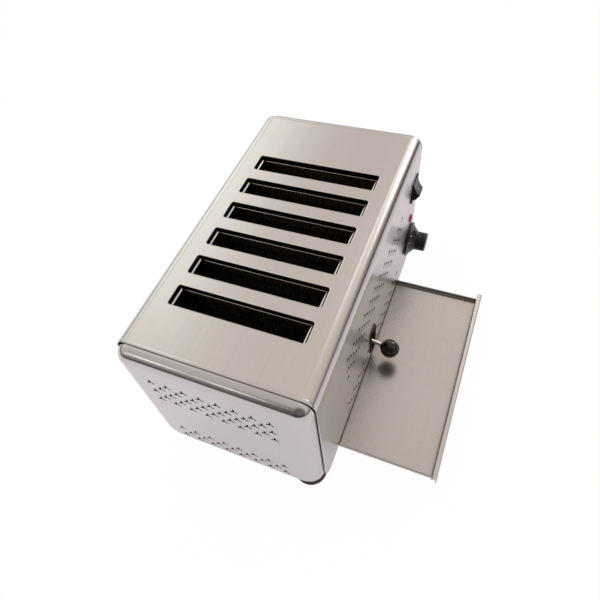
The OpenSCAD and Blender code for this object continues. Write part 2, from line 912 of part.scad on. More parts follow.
module switch_housing() color([0.08, 0.08, 0.08])
    on_face(switch_z)
        difference() {
            union() {
                linear_extrude(bezel_t)
                    rounded_rect(bezel_w, bezel_h, 2);
                translate([0, 0, -switch_depth / 2])
                    cube([switch_body_w, switch_body_h, switch_depth], center = true);
            }
            well = [rocker_w + 2 * rocker_play, 2 * (rocker_r + rocker_play)];
            translate([0, 0, bezel_t - rocker_well])
                linear_extrude(rocker_well + 1)
                    square(well, center = true);
            translate([0, 0, bezel_t - rocker_back])
                rotate([0, 90, 0])
                    cylinder(d = rocker_pin + 2 * seat_play, h = well[0] + 2, center = true);
        }

// Rocker from the side, out to the left: a round back and two finger faces, the lower one out
module rocker_side() {
    far = 3 * rocker_r;
    difference() {
        circle(rocker_r);
        translate([-far - rocker_face, 0])
            square(far);
        translate([-rocker_face, 0])
            rotate(180 - rocker_swing)
                square(far);
    }
}

module switch_rocker() color([0.1, 0.1, 0.1])
    translate([control_x, front_y - bezel_t + rocker_back, switch_z]) {
        along_x(rocker_w)
            rocker_side();
        rotate([0, 90, 0])
            cylinder(d = rocker_pin, h = rocker_w + 2 * rocker_play + 1, center = true);
    }

// Lamp, gland and terminals

module lamp_lens() color("red")
    on_face(lamp_z)
        rotate_extrude()
            polygon([[0, -2], [lens_stem / 2, -2], [lens_stem / 2, 0], [lens_d / 2, 0],
                     [lens_d / 2, lens_out - 1], [lens_d / 2 - 1, lens_out], [0, lens_out]]);

module lamp_body() color("dimgray")
    on_face(lamp_z)
        translate([0, 0, -2 - lamp_depth])
            cylinder(d = lens_stem, h = lamp_depth);

module cord_gland() color([0.08, 0.08, 0.08])
    translate([gland_x, body_width / 2, gland_z])
        rotate([-90, 0, 0])
            difference() {
                union() {
                    cylinder(d = gland_outer, h = gland_collar);
                    translate([0, 0, -sheet])
                        cylinder(d = gland_neck, h = sheet);
                    translate([0, 0, -sheet - 4])
                        cylinder(d = gland_outer, h = 4);
                }
                translate([0, 0, -sheet - 5])
                    cylinder(d = gland_bore, h = sheet + gland_collar + 6);
            }

module terminal_block() color("ivory")
    translate([gland_x, body_width / 2 - terminal_inset, base_top])
        difference() {
            translate([-9, -1.5 * terminal_step, 0])
                cube([18, 3 * terminal_step, terminal_h]);
            for (n = [-1:1], side = [-1, 1])
                translate([side * 5, n * terminal_step, terminal_h - 6])
                    cylinder(d = 5, h = 7);
        }

outer_wrap();
left_end_cap();
right_end_cap();
base_plate();
rubber_feet();
foot_screws();
casing_screws();
rear_screws();
tray_rails();
front_plate();
rear_plate();
left_end_plate();
right_end_plate();
heater_ribbons();
guide_rods();
timer_body();
timer_nut();
switch_housing();
lamp_body();
lamp_lens();
cord_gland();
terminal_block();
bus_insulators();
bus_bars();
heater_board(0);  // heater_board_1
heater_board(1);  // heater_board_2
heater_board(2);  // heater_board_3
heater_board(3);  // heater_board_4
heater_board(4);  // heater_board_5
heater_board(5);  // heater_board_6
heater_board(6);  // heater_board_7
bread_guard(0);  // bread_guard_1
bread_guard(1);  // bread_guard_2
bread_guard(2);  // bread_guard_3
bread_guard(3);  // bread_guard_4
bread_guard(4);  // bread_guard_5
bread_guard(5);  // bread_guard_6
bread_guard(6);  // bread_guard_7
tray_pan();
tray_lip();
bread_rack(0);  // bread_rack_1
bread_rack(1);  // bread_rack_2
bread_rack(2);  // bread_rack_3
bread_rack(3);  // bread_rack_4
bread_rack(4);  // bread_rack_5
bread_rack(5);  // bread_rack_6
lift_bar();
rear_lift_bar();
lever_plate();
lever_rod();
lever_ball();
timer_shaft();
timer_knob();
switch_rocker();
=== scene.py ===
import json
import math

import bmesh
import bpy
import numpy as np
from mathutils import Matrix, Vector


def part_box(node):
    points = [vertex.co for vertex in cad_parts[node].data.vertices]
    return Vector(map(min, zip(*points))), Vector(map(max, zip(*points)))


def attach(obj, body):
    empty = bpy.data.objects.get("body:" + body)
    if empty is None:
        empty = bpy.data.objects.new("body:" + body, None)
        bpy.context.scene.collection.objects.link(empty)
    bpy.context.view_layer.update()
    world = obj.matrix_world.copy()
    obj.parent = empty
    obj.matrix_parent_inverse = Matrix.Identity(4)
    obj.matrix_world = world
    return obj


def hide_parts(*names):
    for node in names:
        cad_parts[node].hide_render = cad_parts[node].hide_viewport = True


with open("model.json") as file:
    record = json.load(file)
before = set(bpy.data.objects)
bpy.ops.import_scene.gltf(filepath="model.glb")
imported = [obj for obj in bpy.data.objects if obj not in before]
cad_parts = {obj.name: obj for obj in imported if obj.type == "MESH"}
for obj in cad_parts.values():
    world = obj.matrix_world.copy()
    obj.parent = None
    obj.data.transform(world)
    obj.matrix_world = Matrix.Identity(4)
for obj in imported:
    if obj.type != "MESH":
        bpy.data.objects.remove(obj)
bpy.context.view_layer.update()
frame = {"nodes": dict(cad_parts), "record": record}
nodes = frame["nodes"]
print("frame loaded,", len(nodes), "nodes")

mm = 0.001      # pieces are worked out in millimetres, and Blender's unit is the metre


# sizes that the frame gives, in millimetres
def boxOf(node):
    low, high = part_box(node)
    return np.array(low) / mm, np.array(high) / mm


wrapLow, wrapHigh = boxOf("outer_wrap")
frontY, rearY, topZ = wrapLow[1], wrapHigh[1], wrapHigh[2]
farEndX = boxOf("right_end_cap")[1][0]


# camera, at the place and tilt of the picture's own viewpoint
view = {
    "place": (-0.34297, -0.19028, 0.62093),
    "turn": -57.693,      # degrees about Z
    "rise": 53.934,       # degrees above the level
    "roll": -11.672,
    "lens": 30.417,
    "sensor": 36.0,
    "shift": (0.0334, 0.0118),
    "nearest": 0.01,
    "farthest": 60.0,
}


def placeCamera(v):
    turn, rise, roll = (math.radians(v[k]) for k in ("turn", "rise", "roll"))
    back = Vector((math.sin(turn) * math.cos(rise), -math.cos(turn) * math.cos(rise), math.sin(rise)))
    right = (-back).cross(Vector((0, 0, 1))).normalized()
    up = right.cross(-back)
    across = math.cos(roll) * right + math.sin(roll) * up
    upright = -math.sin(roll) * right + math.cos(roll) * up
    data = bpy.data.cameras.new("viewCamera")
    data.lens = v["lens"]
    data.sensor_width = v["sensor"]
    data.sensor_fit = "HORIZONTAL"
    data.shift_x, data.shift_y = v["shift"]
    data.clip_start, data.clip_end = v["nearest"], v["farthest"]
    camera = bpy.data.objects.new("viewCamera", data)
    camera.matrix_world = Matrix((
        (across.x, upright.x, back.x, v["place"][0]),
        (across.y, upright.y, back.y, v["place"][1]),
        (across.z, upright.z, back.z, v["place"][2]),
        (0, 0, 0, 1)))
    bpy.context.scene.collection.objects.link(camera)
    bpy.context.scene.camera = camera


placeCamera(view)
bpy.context.scene.view_settings.view_transform = "Standard"
print("camera placed")


# small helpers for node trees
def addNode(tree, kind, **settings):
    node = tree.nodes.new(kind)
    for key, value in settings.items():
        setattr(node, key, value)
    return node


def setIn(node, values):
    for label, value in values.items():
        node.inputs[label].default_value = value
    return node


def join(tree, source, sink):
    tree.links.new(source, sink)


def feed(tree, socket, value):
    # a number or a colour is set on the socket, and an output is linked to it
    if isinstance(value, (int, float)):
        socket.default_value = value
    elif isinstance(value, tuple):
        socket.default_value = (*value, 1)
    else:
        join(tree, value, socket)


def maths(tree, operation, *values, clamp=False):
    node = addNode(tree, "ShaderNodeMath", operation=operation, use_clamp=clamp)
    for socket, value in zip(node.inputs, values):
        feed(tree, socket, value)
    return node.outputs[0]


def times(tree, a, b):
    return maths(tree, "MULTIPLY", a, b)


def ease(tree, value, low, high, toLow=0.0, toHigh=1.0):
    node = addNode(tree, "ShaderNodeMapRange", interpolation_type="SMOOTHSTEP")
    join(tree, value, node.inputs["Value"])
    setIn(node, {"From Min": low, "From Max": high, "To Min": toLow, "To Max": toHigh})
    return node.outputs["Result"]


def mixColour(tree, factor, a, b, blend="MIX"):
    node = addNode(tree, "ShaderNodeMix", data_type="RGBA", blend_type=blend)
    # inputs 6 and 7 and output 2 are the node's colour sockets
    for socket, value in ((node.inputs["Factor"], factor), (node.inputs[6], a), (node.inputs[7], b)):
        feed(tree, socket, value)
    return node.outputs[2]


def addGlow(tree, colour, share, glow):
    return mixColour(tree, 1.0, colour, mixColour(tree, share, (0, 0, 0), glow), "ADD")


def scaleColour(tree, colour, value):
    grey = addNode(tree, "ShaderNodeCombineColor")
    for socket in grey.inputs[:3]:
        join(tree, value, socket)
    return mixColour(tree, 1.0, colour, grey.outputs[0], "MULTIPLY")


def splitAxes(tree, vector):
    node = addNode(tree, "ShaderNodeSeparateXYZ")
    join(tree, vector, node.inputs[0])
    return node.outputs


# studio: a pale dome with soft glows and shades, a dim band at the level, a pale wall behind and windows;
# a turn is in degrees from +X towards +Y, and a rise in degrees above the level
studio = {
    "domeLow": (0.70, 0.632, 0.60),
    "domeHigh": (0.82, 0.735, 0.70),
    "domeRise": (8.0, 72.0),
    "levelDim": 0.22,
    "levelRise": (3.0, 20.0),
    "groundRise": (-1.5, -0.5),
    # round patches that fade out between two angles from their middle: light added, then light kept
    "glows": (
        {"turn": 80, "rise": 42, "fade": (12, 31), "colour": (0.12, 0.15, 0.13)},      # behind
        {"turn": -4, "rise": 52, "fade": (4, 16), "colour": (0.22, 0.21, 0.205)},      # over the far end
    ),
    "shades": (
        {"turn": 204, "rise": 30, "fade": (27, 49), "keep": 0.25},      # the room past the near end
        {"turn": 164, "rise": -6, "fade": (22, 46), "keep": 0.42},      # low past the near end
        {"turn": 140, "rise": 58, "fade": (14, 44), "keep": 0.82},      # high behind the near end
        {"turn": -44, "rise": 6, "fade": (3, 28), "keep": 0.35},        # low in front of the far end
    ),
    # the wall's band lies between two slants y/z, and its glow low down; both fade in along x
    "wall": {
        "colour": (0.70, 0.80, 0.77),
        "leastZ": 0.02,
        "bandFrom": (0.52, 0.74),
        "bandTo": (0.76, 1.1),
        "bandRest": 0.12,      # what the band falls to
        "glowY": (0.50, 0.62),
        "glowZ": (0.46, 0.58),
        "fadeX": (0.15, 0.6),
    },
    # soft-edged patches in turn and rise
    "windows": (
        {"turn": -19.0, "half": 15.0, "soft": 2.5, "rise": (14.0, 41.0), "riseSoft": 4.0,
         "colour": (1.25, 1.27, 1.30)},      # a wide one past the far end
        {"turn": 2.0, "half": 3.5, "soft": 2.0, "rise": (34.0, 58.0), "riseSoft": 4.0,
         "colour": (0.60, 0.60, 0.61)},      # a narrow strip beside and above it
        {"turn": 141.5, "half": 3.4, "soft": 1.0, "rise": (33.0, 37.0), "riseSoft": 1.0,
         "colour": (2.1, 2.1, 2.1)},         # two small ones behind the near end
        {"turn": 154.5, "half": 3.4, "soft": 1.0, "rise": (33.0, 37.0), "riseSoft": 1.0,
         "colour": (2.1, 2.1, 2.1)},
        {"turn": -17.0, "half": 5.0, "soft": 1.5, "rise": (24.0, 32.0), "riseSoft": 1.5,
         "colour": (14.0, 14.0, 14.0)},      # a bright spark in the wide one
    ),
}

studioFloor = {
    "radius": 6.0,
    "steps": 96,
    "colour": (0.86, 0.84, 0.90),
    "glow": (0.82, 0.775, 0.815),      # what polished sheet sees of the floor
    "glowShare": 0.65,
    "whiteShare": 0.98,                # how much of what the camera sees is plain white
}


def buildWorld(s, groundColour):
    world = bpy.data.worlds.new("paleStudio")
    bpy.context.scene.world = world
    world.use_nodes = True
    tree = world.node_tree
    tree.nodes.clear()
    outlook = addNode(tree, "ShaderNodeTexCoord").outputs["Generated"]
    x, y, z = splitAxes(tree, outlook)
    rise = times(tree, maths(tree, "ARCSINE", z), 180 / math.pi)
    turn = times(tree, maths(tree, "ARCTAN2", y, x), 180 / math.pi)

    def lobe(p):
        a, b = math.radians(p["turn"]), math.radians(p["rise"])
        inner, outer = (math.cos(math.radians(angle)) for angle in p["fade"])
        toward = addNode(tree, "ShaderNodeVectorMath", operation="DOT_PRODUCT")
        join(tree, outlook, toward.inputs[0])
        toward.inputs[1].default_value = (math.cos(a) * math.cos(b), math.sin(a) * math.cos(b), math.sin(b))
        return ease(tree, toward.outputs["Value"], outer, inner)

    def patch(p):
        low, high = p["rise"]
        soft, riseSoft = p["soft"], p["riseSoft"]
        off = maths(tree, "ABSOLUTE", maths(tree, "SUBTRACT", turn, p["turn"]))
        across = ease(tree, off, p["half"] - soft, p["half"] + soft, 1.0, 0.0)
        above = ease(tree, rise, low - riseSoft, low + riseSoft)
        below = ease(tree, rise, high - riseSoft, high + riseSoft, 1.0, 0.0)
        return times(tree, across, times(tree, above, below))

    colour = mixColour(tree, ease(tree, rise, *s["domeRise"]), s["domeLow"], s["domeHigh"])
    for glow in s["glows"]:
        colour = addGlow(tree, colour, lobe(glow), glow["colour"])
    for shade in s["shades"]:
        shaded = mixColour(tree, 1.0, colour, (shade["keep"],) * 3, "MULTIPLY")
        colour = mixColour(tree, lobe(shade), colour, shaded)
    colour = scaleColour(tree, colour, ease(tree, rise, *s["levelRise"], s["levelDim"], 1.0))

    w = s["wall"]
    slant = maths(tree, "DIVIDE", y, maths(tree, "MAXIMUM", z, w["leastZ"]))
    band = times(tree, ease(tree, slant, *w["bandFrom"]), ease(tree, slant, *w["bandTo"], 1.0, w["bandRest"]))
    lowGlow = times(tree, ease(tree, y, *w["glowY"]), ease(tree, z, *w["glowZ"], 1.0, 0.0))
    wall = times(tree, maths(tree, "MAXIMUM", band, lowGlow), ease(tree, x, *w["fadeX"]))
    colour = addGlow(tree, colour, wall, w["colour"])
    for window in s["windows"]:
        colour = addGlow(tree, colour, patch(window), window["colour"])
    colour = mixColour(tree, ease(tree, rise, *s["groundRise"], 1.0, 0.0), colour, groundColour)

    rays = addNode(tree, "ShaderNodeLightPath")
    colour = mixColour(tree, rays.outputs["Is Camera Ray"], colour, (1, 1, 1))
    light = addNode(tree, "ShaderNodeBackground")
    join(tree, colour, light.inputs["Color"])
    light.inputs["Strength"].default_value = 1.0
    out = addNode(tree, "ShaderNodeOutputWorld")
    join(tree, light.outputs[0], out.inputs[0])


def fullTurn(steps):
    return np.linspace(0, 2 * np.pi, steps + 1)[:-1]


def buildFloor(f):
    # a flat disc, its rim at radius (cos t, sin t)
    t = fullTurn(f["steps"])
    rim = f["radius"] * np.stack([np.cos(t), np.sin(t), 0 * t], 1)
    mesh = bpy.data.meshes.new("studioFloor")
    mesh.from_pydata(rim.tolist(), [], [list(range(f["steps"]))])
    floor = bpy.data.objects.new("studioFloor", mesh)
    bpy.context.scene.collection.objects.link(floor)
    material = bpy.data.materials.new("studioFloor")
    material.use_nodes = True
    tree = material.node_tree
    tree.nodes.clear()
    matt = addNode(tree, "ShaderNodeBsdfDiffuse")
    feed(tree, matt.inputs["Color"], f["colour"])
    rays = addNode(tree, "ShaderNodeLightPath")
    seen, mirrored = rays.outputs["Is Camera Ray"], rays.outputs["Is Glossy Ray"]
    shine = addNode(tree, "ShaderNodeEmission")
    shine.inputs["Strength"].default_value = 1.0
    join(tree, mixColour(tree, seen, f["glow"], (1, 1, 1)), shine.inputs["Color"])
    share = maths(tree, "MAXIMUM", times(tree, seen, f["whiteShare"]), times(tree, mirrored, f["glowShare"]))
    blend = addNode(tree, "ShaderNodeMixShader")
    for socket, source in zip(blend.inputs, (share, matt.outputs[0], shine.outputs[0])):
        join(tree, source, socket)
    out = addNode(tree, "ShaderNodeOutputMaterial")
    join(tree, blend.outputs[0], out.inputs["Surface"])
    mesh.materials.append(material)


softLights = {
    "overheadSoft": {
        "place": (0.1, 0.5, 1.9), "aim": (0, 0, 0.1), "size": (1.4, 1.1),
        "watts": 17, "colour": (1.0, 0.97, 0.93)},
    "leftSoft": {
        "place": (-1.6, 0.5, 1.3), "aim": (0, 0, 0.1), "size": (0.9, 0.9),
        "watts": 4, "colour": (0.97, 0.98, 1.0)},
}


def buildLights(lights):
    for name, v in lights.items():
        data = bpy.data.lights.new(name, "AREA")
        data.shape = "RECTANGLE"
        data.size, data.size_y = v["size"]
        data.energy = v["watts"]
        data.color = v["colour"]
        lamp = bpy.data.objects.new(name, data)
        lamp.location = v["place"]
        lamp.rotation_euler = (Vector(v["aim"]) - Vector(v["place"])).to_track_quat("-Z", "Y").to_euler()
        lamp.visible_camera = False
        lamp.visible_glossy = False
        bpy.context.scene.collection.objects.link(lamp)


buildWorld(studio, studioFloor["colour"])
buildFloor(studioFloor)
buildLights(softLights)
print("studio built")


# shared finish effects
def newGroup(name, inputs, outputs):
    group = bpy.data.node_groups.new(name, "ShaderNodeTree")
    for label, kind, value in inputs:
        socket = group.interface.new_socket(label, in_out="INPUT", socket_type=kind)
        socket.default_value = value
    for label, kind in outputs:
        group.interface.new_socket(label, in_out="OUTPUT", socket_type=kind)
    return group, addNode(group, "NodeGroupInput"), addNode(group, "NodeGroupOutput")


def objectPlace(tree):
    return addNode(tree, "ShaderNodeTexCoord").outputs["Object"]


def addNoise(tree, vector, values):
    node = setIn(addNode(tree, "ShaderNodeTexNoise"), values)
    join(tree, vector, node.inputs["Vector"])
    return node


brushedGrain = {
    "fine": {"Scale": 1.0, "Detail": 3.0, "Roughness": 0.6},
    "wide": {"Scale": 0.22, "Detail": 2.0, "Roughness": 0.5},
}


def makeGrainGroup(v):
    # fine parallel strokes: noise stretched along one axis, twice, at two widths
    group, entry, leave = newGroup(
        "brushedGrain",
        [("Stretch", "NodeSocketVector", (20, 900, 900)), ("Depth", "NodeSocketFloat", 0.5)],
        [("Grain", "NodeSocketFloat"), ("Coarse", "NodeSocketFloat")])
    scaled = addNode(group, "ShaderNodeVectorMath", operation="MULTIPLY")
    join(group, objectPlace(group), scaled.inputs[0])
    join(group, entry.outputs["Stretch"], scaled.inputs[1])
    fine = addNoise(group, scaled.outputs[0], v["fine"])
    wide = addNoise(group, scaled.outputs[0], v["wide"])
    centred = maths(group, "SUBTRACT", fine.outputs["Fac"], 0.5)
    join(group, maths(group, "MULTIPLY_ADD", centred, entry.outputs["Depth"], 0.5), leave.inputs["Grain"])
    join(group, wide.outputs["Fac"], leave.inputs["Coarse"])
    return group


handlingMarks = {
    "blots": {"Detail": 4.0, "Roughness": 0.62, "Distortion": 0.6},
    "blotStart": 0.8,
    "blotSteep": 3.2,
    "specks": {"Scale": 700.0, "Detail": 1.0},
    "speckFade": (0.66, 0.74),
}


def makeHandlingGroup(v):
    # patchy handling marks, soft blots that the spread makes wider, and small separate specks
    group, entry, leave = newGroup(
        "handlingMarks",
        [("Size", "NodeSocketFloat", 9.0), ("Spread", "NodeSocketFloat", 0.5)],
        [("Marks", "NodeSocketFloat"), ("Specks", "NodeSocketFloat")])
    spot = objectPlace(group)
    blots = addNoise(group, spot, v["blots"])
    join(group, entry.outputs["Size"], blots.inputs["Scale"])
    start = times(group, maths(group, "SUBTRACT", 1.0, entry.outputs["Spread"]), v["blotStart"])
    over = maths(group, "SUBTRACT", blots.outputs["Fac"], start)
    join(group, maths(group, "MULTIPLY", over, v["blotSteep"], clamp=True), leave.inputs["Marks"])
    specks = addNoise(group, spot, v["specks"])
    join(group, ease(group, specks.outputs["Fac"], *v["speckFade"]), leave.inputs["Specks"])
    return group


grainGroup = makeGrainGroup(brushedGrain)
handlingGroup = makeHandlingGroup(handlingMarks)


def startMaterial(name):
    material = bpy.data.materials.new(name)
    material.use_nodes = True
    tree = material.node_tree
    return material, tree, tree.nodes["Principled BSDF"]


def useGroup(tree, group, values):
    return setIn(addNode(tree, "ShaderNodeGroup", node_tree=group), values)


def addBump(tree, shader, height, strength, distance):
    bump = setIn(addNode(tree, "ShaderNodeBump"), {"Strength": strength, "Distance": distance})
    join(tree, height, bump.inputs["Height"])
    join(tree, bump.outputs[0], shader.inputs["Normal"])


# sheet metals, wires and screws: colour and colour of the handling marks, roughness and its swing,
# stretch and bump of the grain, contrast of its streaks
sheets = {
    "steel_wrap": {
        "colour": (0.635, 0.612, 0.588), "mark": (0.622, 0.596, 0.572), "rough": 0.20, "swing": 0.025,
        "stretch": (14, 1500, 1500), "bump": 0.010, "streak": 0.012},
    "steel_cap": {
        "colour": (0.64, 0.625, 0.622), "mark": (0.625, 0.61, 0.61), "rough": 0.145, "swing": 0.02,
        "stretch": (1500, 14, 1500), "bump": 0.008, "streak": 0.010},
    "steel_tray": {
        "colour": (0.507, 0.487, 0.459), "mark": (0.497, 0.476, 0.448), "rough": 0.27, "swing": 0.015,
        "stretch": (14, 1500, 1500), "bump": 0.005, "streak": 0.010},
    "steel_lip": {
        "colour": (0.62, 0.60, 0.58), "mark": (0.60, 0.58, 0.56), "rough": 0.18, "swing": 0.03,
        "stretch": (14, 1500, 1500), "bump": 0.010, "streak": 0.012},
    "steel_base": {
        "colour": (0.46, 0.455, 0.45), "mark": (0.40, 0.395, 0.39), "rough": 0.34, "swing": 0.08,
        "stretch": (24, 900, 900), "bump": 0.04, "streak": 0.03},
    "steel_chamber": {
        "colour": (0.135, 0.125, 0.115), "mark": (0.085, 0.072, 0.062), "rough": 0.46, "swing": 0.12,
        "stretch": (40, 400, 400), "bump": 0.05, "streak": 0.04},
    "wire": {
        "colour": (0.62, 0.60, 0.57), "mark": (0.46, 0.43, 0.39), "rough": 0.20, "swing": 0.08,
        "stretch": (300, 300, 300), "bump": 0.02, "streak": 0.03},
    "rod": {
        "colour": (0.50, 0.49, 0.48), "mark": (0.45, 0.44, 0.43), "rough": 0.16, "swing": 0.05,
        "stretch": (500, 500, 500), "bump": 0.015, "streak": 0.02},
    "screw": {
        "colour": (0.50, 0.495, 0.485), "mark": (0.40, 0.39, 0.38), "rough": 0.24, "swing": 0.08,
        "stretch": (600, 600, 600), "bump": 0.03, "streak": 0.03},
    "ribbon": {
        "colour": (0.20, 0.185, 0.175), "mark": (0.12, 0.105, 0.10), "rough": 0.40, "swing": 0.12,
        "stretch": (400, 60, 400), "bump": 0.03, "streak": 0.04},
    "brass": {
        "colour": (0.62, 0.45, 0.20), "mark": (0.45, 0.31, 0.14), "rough": 0.30, "swing": 0.10,
        "stretch": (20, 800, 800), "bump": 0.04, "streak": 0.03},
}
sheetLook = {
    "grainDepth": 0.8,
    "markSize": 11.0,
    "markSpread": 0.55,
    "streakFade": (0.25, 0.75),
    "bumpDistance": 0.0004,
    # painted shade: near black laid on the holes' cut faces and the slots' inner sides, for the shade inside
    # them
    "holeShadeColour": (0.012, 0.011, 0.010),
    "cutFacing": 0.5,      # a cut face's normal has less than this along the sheet's direction
    "glazeRough": 0.05,
}

# punched sheets: cut edges and slot sides get painted shade, near black, standing in for the shade inside the
# holes, and the wrap's flat faces are satin under a faint clear glaze
punched = {
    "steel_wrap": {
        "axis": 1,                    # across the sheet
        "beyond": rearY - 1.3,        # where its outermost layer starts, in mm
        "under": topZ - 15.0,         # where its flat faces end, below the bend
        "slotTop": topZ - 0.8,        # the slots' inner sides lie below this
        "slotReach": 76.5,            # and nearer to the middle than this
        "flatFade": 10.0, "satin": 0.15, "glaze": 0.35},
    "steel_cap": {"axis": 0, "beyond": farEndX - 1.5},
}


def punchedFaces(tree, v, facingLimit):
    # the first mask is painted shade: a face of the outermost layer that turns away from the sheet's
    # direction, or a slot's inner side, coloured near black as the shade inside the holes
    # flat: the outermost layer, fading out below the bend
    coords = addNode(tree, "ShaderNodeTexCoord")
    spot = splitAxes(tree, coords.outputs["Object"])
    facing = splitAxes(tree, coords.outputs["Normal"])
    outer = maths(tree, "GREATER_THAN", maths(tree, "ABSOLUTE", spot[v["axis"]]), v["beyond"] * mm)
    turned = maths(tree, "LESS_THAN", maths(tree, "ABSOLUTE", facing[v["axis"]]), facingLimit)
    holeShade = times(tree, outer, turned)
    if "under" not in v:
        return holeShade, None
    holeShade = times(tree, holeShade, maths(tree, "LESS_THAN", spot[2], v["under"] * mm))
    slotSide = times(tree, maths(tree, "LESS_THAN", spot[2], v["slotTop"] * mm),
                     maths(tree, "LESS_THAN", maths(tree, "ABSOLUTE", spot[1]), v["slotReach"] * mm))
    fade = ease(tree, spot[2], (v["under"] - v["flatFade"]) * mm, v["under"] * mm, 1.0, 0.0)
    return maths(tree, "MAXIMUM", holeShade, slotSide), times(tree, outer, fade)


def makeSheet(slot, v, look):
    material, tree, shader = startMaterial(slot)
    grain = useGroup(tree, grainGroup, {"Stretch": v["stretch"], "Depth": look["grainDepth"]})
    marks = useGroup(tree, handlingGroup, {"Size": look["markSize"], "Spread": look["markSpread"]})
    tone = mixColour(tree, marks.outputs["Marks"], v["colour"], v["mark"])
    streak = ease(tree, grain.outputs["Coarse"], *look["streakFade"], 1.0 - v["streak"], 1.0 + v["streak"])
    tone = scaleColour(tree, tone, streak)
    half = 0.5 * v["swing"]
    rough = maths(tree, "MULTIPLY_ADD", grain.outputs["Grain"], v["swing"], v["rough"] - half)
    rough = maths(tree, "MULTIPLY_ADD", marks.outputs["Marks"], half, rough)
    if slot in punched:
        holeShade, flat = punchedFaces(tree, punched[slot], look["cutFacing"])
        # painted shade: hole walls and slot sides turned near black
        tone = mixColour(tree, holeShade, tone, look["holeShadeColour"])
        if flat is not None:
            rough = maths(tree, "MULTIPLY_ADD", flat, punched[slot]["satin"], rough)
            join(tree, times(tree, flat, punched[slot]["glaze"]), shader.inputs["Coat Weight"])
            shader.inputs["Coat Roughness"].default_value = look["glazeRough"]
    join(tree, tone, shader.inputs["Base Color"])
    join(tree, rough, shader.inputs["Roughness"])
    addBump(tree, shader, grain.outputs["Grain"], v["bump"], look["bumpDistance"])
    shader.inputs["Metallic"].default_value = 1.0
    return material


# moulded, rubber and fired pieces: colours, roughness, fineness and bump of the grit, coat and shine
moulds = {
    "rubber": {
        "colour": (0.010, 0.010, 0.011), "mark": (0.022, 0.021, 0.020), "rough": 0.62,
        "grit": 900.0, "bump": 0.12, "coat": 0.0, "shine": 0.25},
    "black_gloss": {
        "colour": (0.0045, 0.0045, 0.0045), "mark": (0.007, 0.007, 0.007), "rough": 0.09,
        "grit": 260.0, "bump": 0.004, "coat": 0.35, "shine": 0.42},
    "black_satin": {
        "colour": (0.009, 0.0085, 0.0095), "mark": (0.014, 0.0135, 0.0145), "rough": 0.30,
        "grit": 1400.0, "bump": 0.05, "coat": 0.30, "shine": 0.30},
    "mica": {
        "colour": (0.060, 0.049, 0.037), "mark": (0.034, 0.027, 0.021), "rough": 0.55,
        "grit": 240.0, "bump": 0.06, "coat": 0.0, "shine": 0.3},
    "ceramic": {
        "colour": (0.78, 0.755, 0.70), "mark": (0.68, 0.64, 0.57), "rough": 0.22,
        "grit": 420.0, "bump": 0.02, "coat": 0.3, "shine": 0.5},
}
mouldLook = {
    "markSize": 16.0,
    "markSpread": 0.48,
    "markRough": 0.10,
    "dust": 0.35,
    "dustPale": 2.2,      # a speck's colour over the mark's
    "gritDetail": 2.0,
    "bumpDistance": 0.0005,
    "coatRough": 0.06,
}


def makeMould(slot, v, look):
    material, tree, shader = startMaterial(slot)
    marks = useGroup(tree, handlingGroup, {"Size": look["markSize"], "Spread": look["markSpread"]})
    tone = mixColour(tree, marks.outputs["Marks"], v["colour"], v["mark"])
    dust = times(tree, marks.outputs["Specks"], look["dust"])
    dustColour = tuple(min(1.0, look["dustPale"] * c) for c in v["mark"])
    join(tree, mixColour(tree, dust, tone, dustColour), shader.inputs["Base Color"])
    rough = maths(tree, "MULTIPLY_ADD", marks.outputs["Marks"], look["markRough"], v["rough"])
    join(tree, rough, shader.inputs["Roughness"])
    grit = addNoise(tree, objectPlace(tree), {"Scale": v["grit"], "Detail": look["gritDetail"]})
    addBump(tree, shader, grit.outputs["Fac"], v["bump"], look["bumpDistance"])
    setIn(shader, {
        "Specular IOR Level": v["shine"], "Coat Weight": v["coat"], "Coat Roughness": look["coatRough"]})
    return material


lampRed = {
    "colour": (0.80, 0.060, 0.160), "deep": (0.46, 0.020, 0.070), "rough": 0.10, "coat": 0.6,
    "cells": 520.0, "cellFade": (0.1, 0.7), "bump": 0.12, "bumpDistance": 0.0006,
}


def makeLamp(v):
    material, tree, shader = startMaterial("lamp_red")
    cells = setIn(addNode(tree, "ShaderNodeTexVoronoi"), {"Scale": v["cells"]})
    join(tree, objectPlace(tree), cells.inputs["Vector"])
    edge = ease(tree, cells.outputs["Distance"], *v["cellFade"])
    join(tree, mixColour(tree, edge, v["colour"], v["deep"]), shader.inputs["Base Color"])
    addBump(tree, shader, cells.outputs["Distance"], v["bump"], v["bumpDistance"])
    setIn(shader, {"Roughness": v["rough"], "Coat Weight": v["coat"]})
    return material


markWhite = {
    "colour": (0.55, 0.55, 0.54), "worn": (0.42, 0.42, 0.41), "rough": 0.5,
    "markSize": 120.0, "markSpread": 0.5,
}


def makeMarkPaint(v):
    material, tree, shader = startMaterial("mark_white")
    marks = useGroup(tree, handlingGroup, {"Size": v["markSize"], "Spread": v["markSpread"]})
    tone = mixColour(tree, marks.outputs["Marks"], v["colour"], v["worn"])
    join(tree, tone, shader.inputs["Base Color"])
    shader.inputs["Roughness"].default_value = v["rough"]
    return material


finishes = {slot: makeSheet(slot, v, sheetLook) for slot, v in sheets.items()}
finishes.update({slot: makeMould(slot, v, mouldLook) for slot, v in moulds.items()})
finishes["lamp_red"] = makeLamp(lampRed)
markPaint = makeMarkPaint(markWhite)

for part in frame["record"]["subparts"]:
    mesh = nodes[part["node"]].data
    mesh.materials.clear()
    mesh.materials.append(finishes[part["material_slot"]])
print("finishes made:", len(finishes))


# shapes: rows of points carried along a path or round an axis
alongX, alongY, alongZ = np.eye(3)
touching = 1e-7      # points nearer than this, in metres, become one


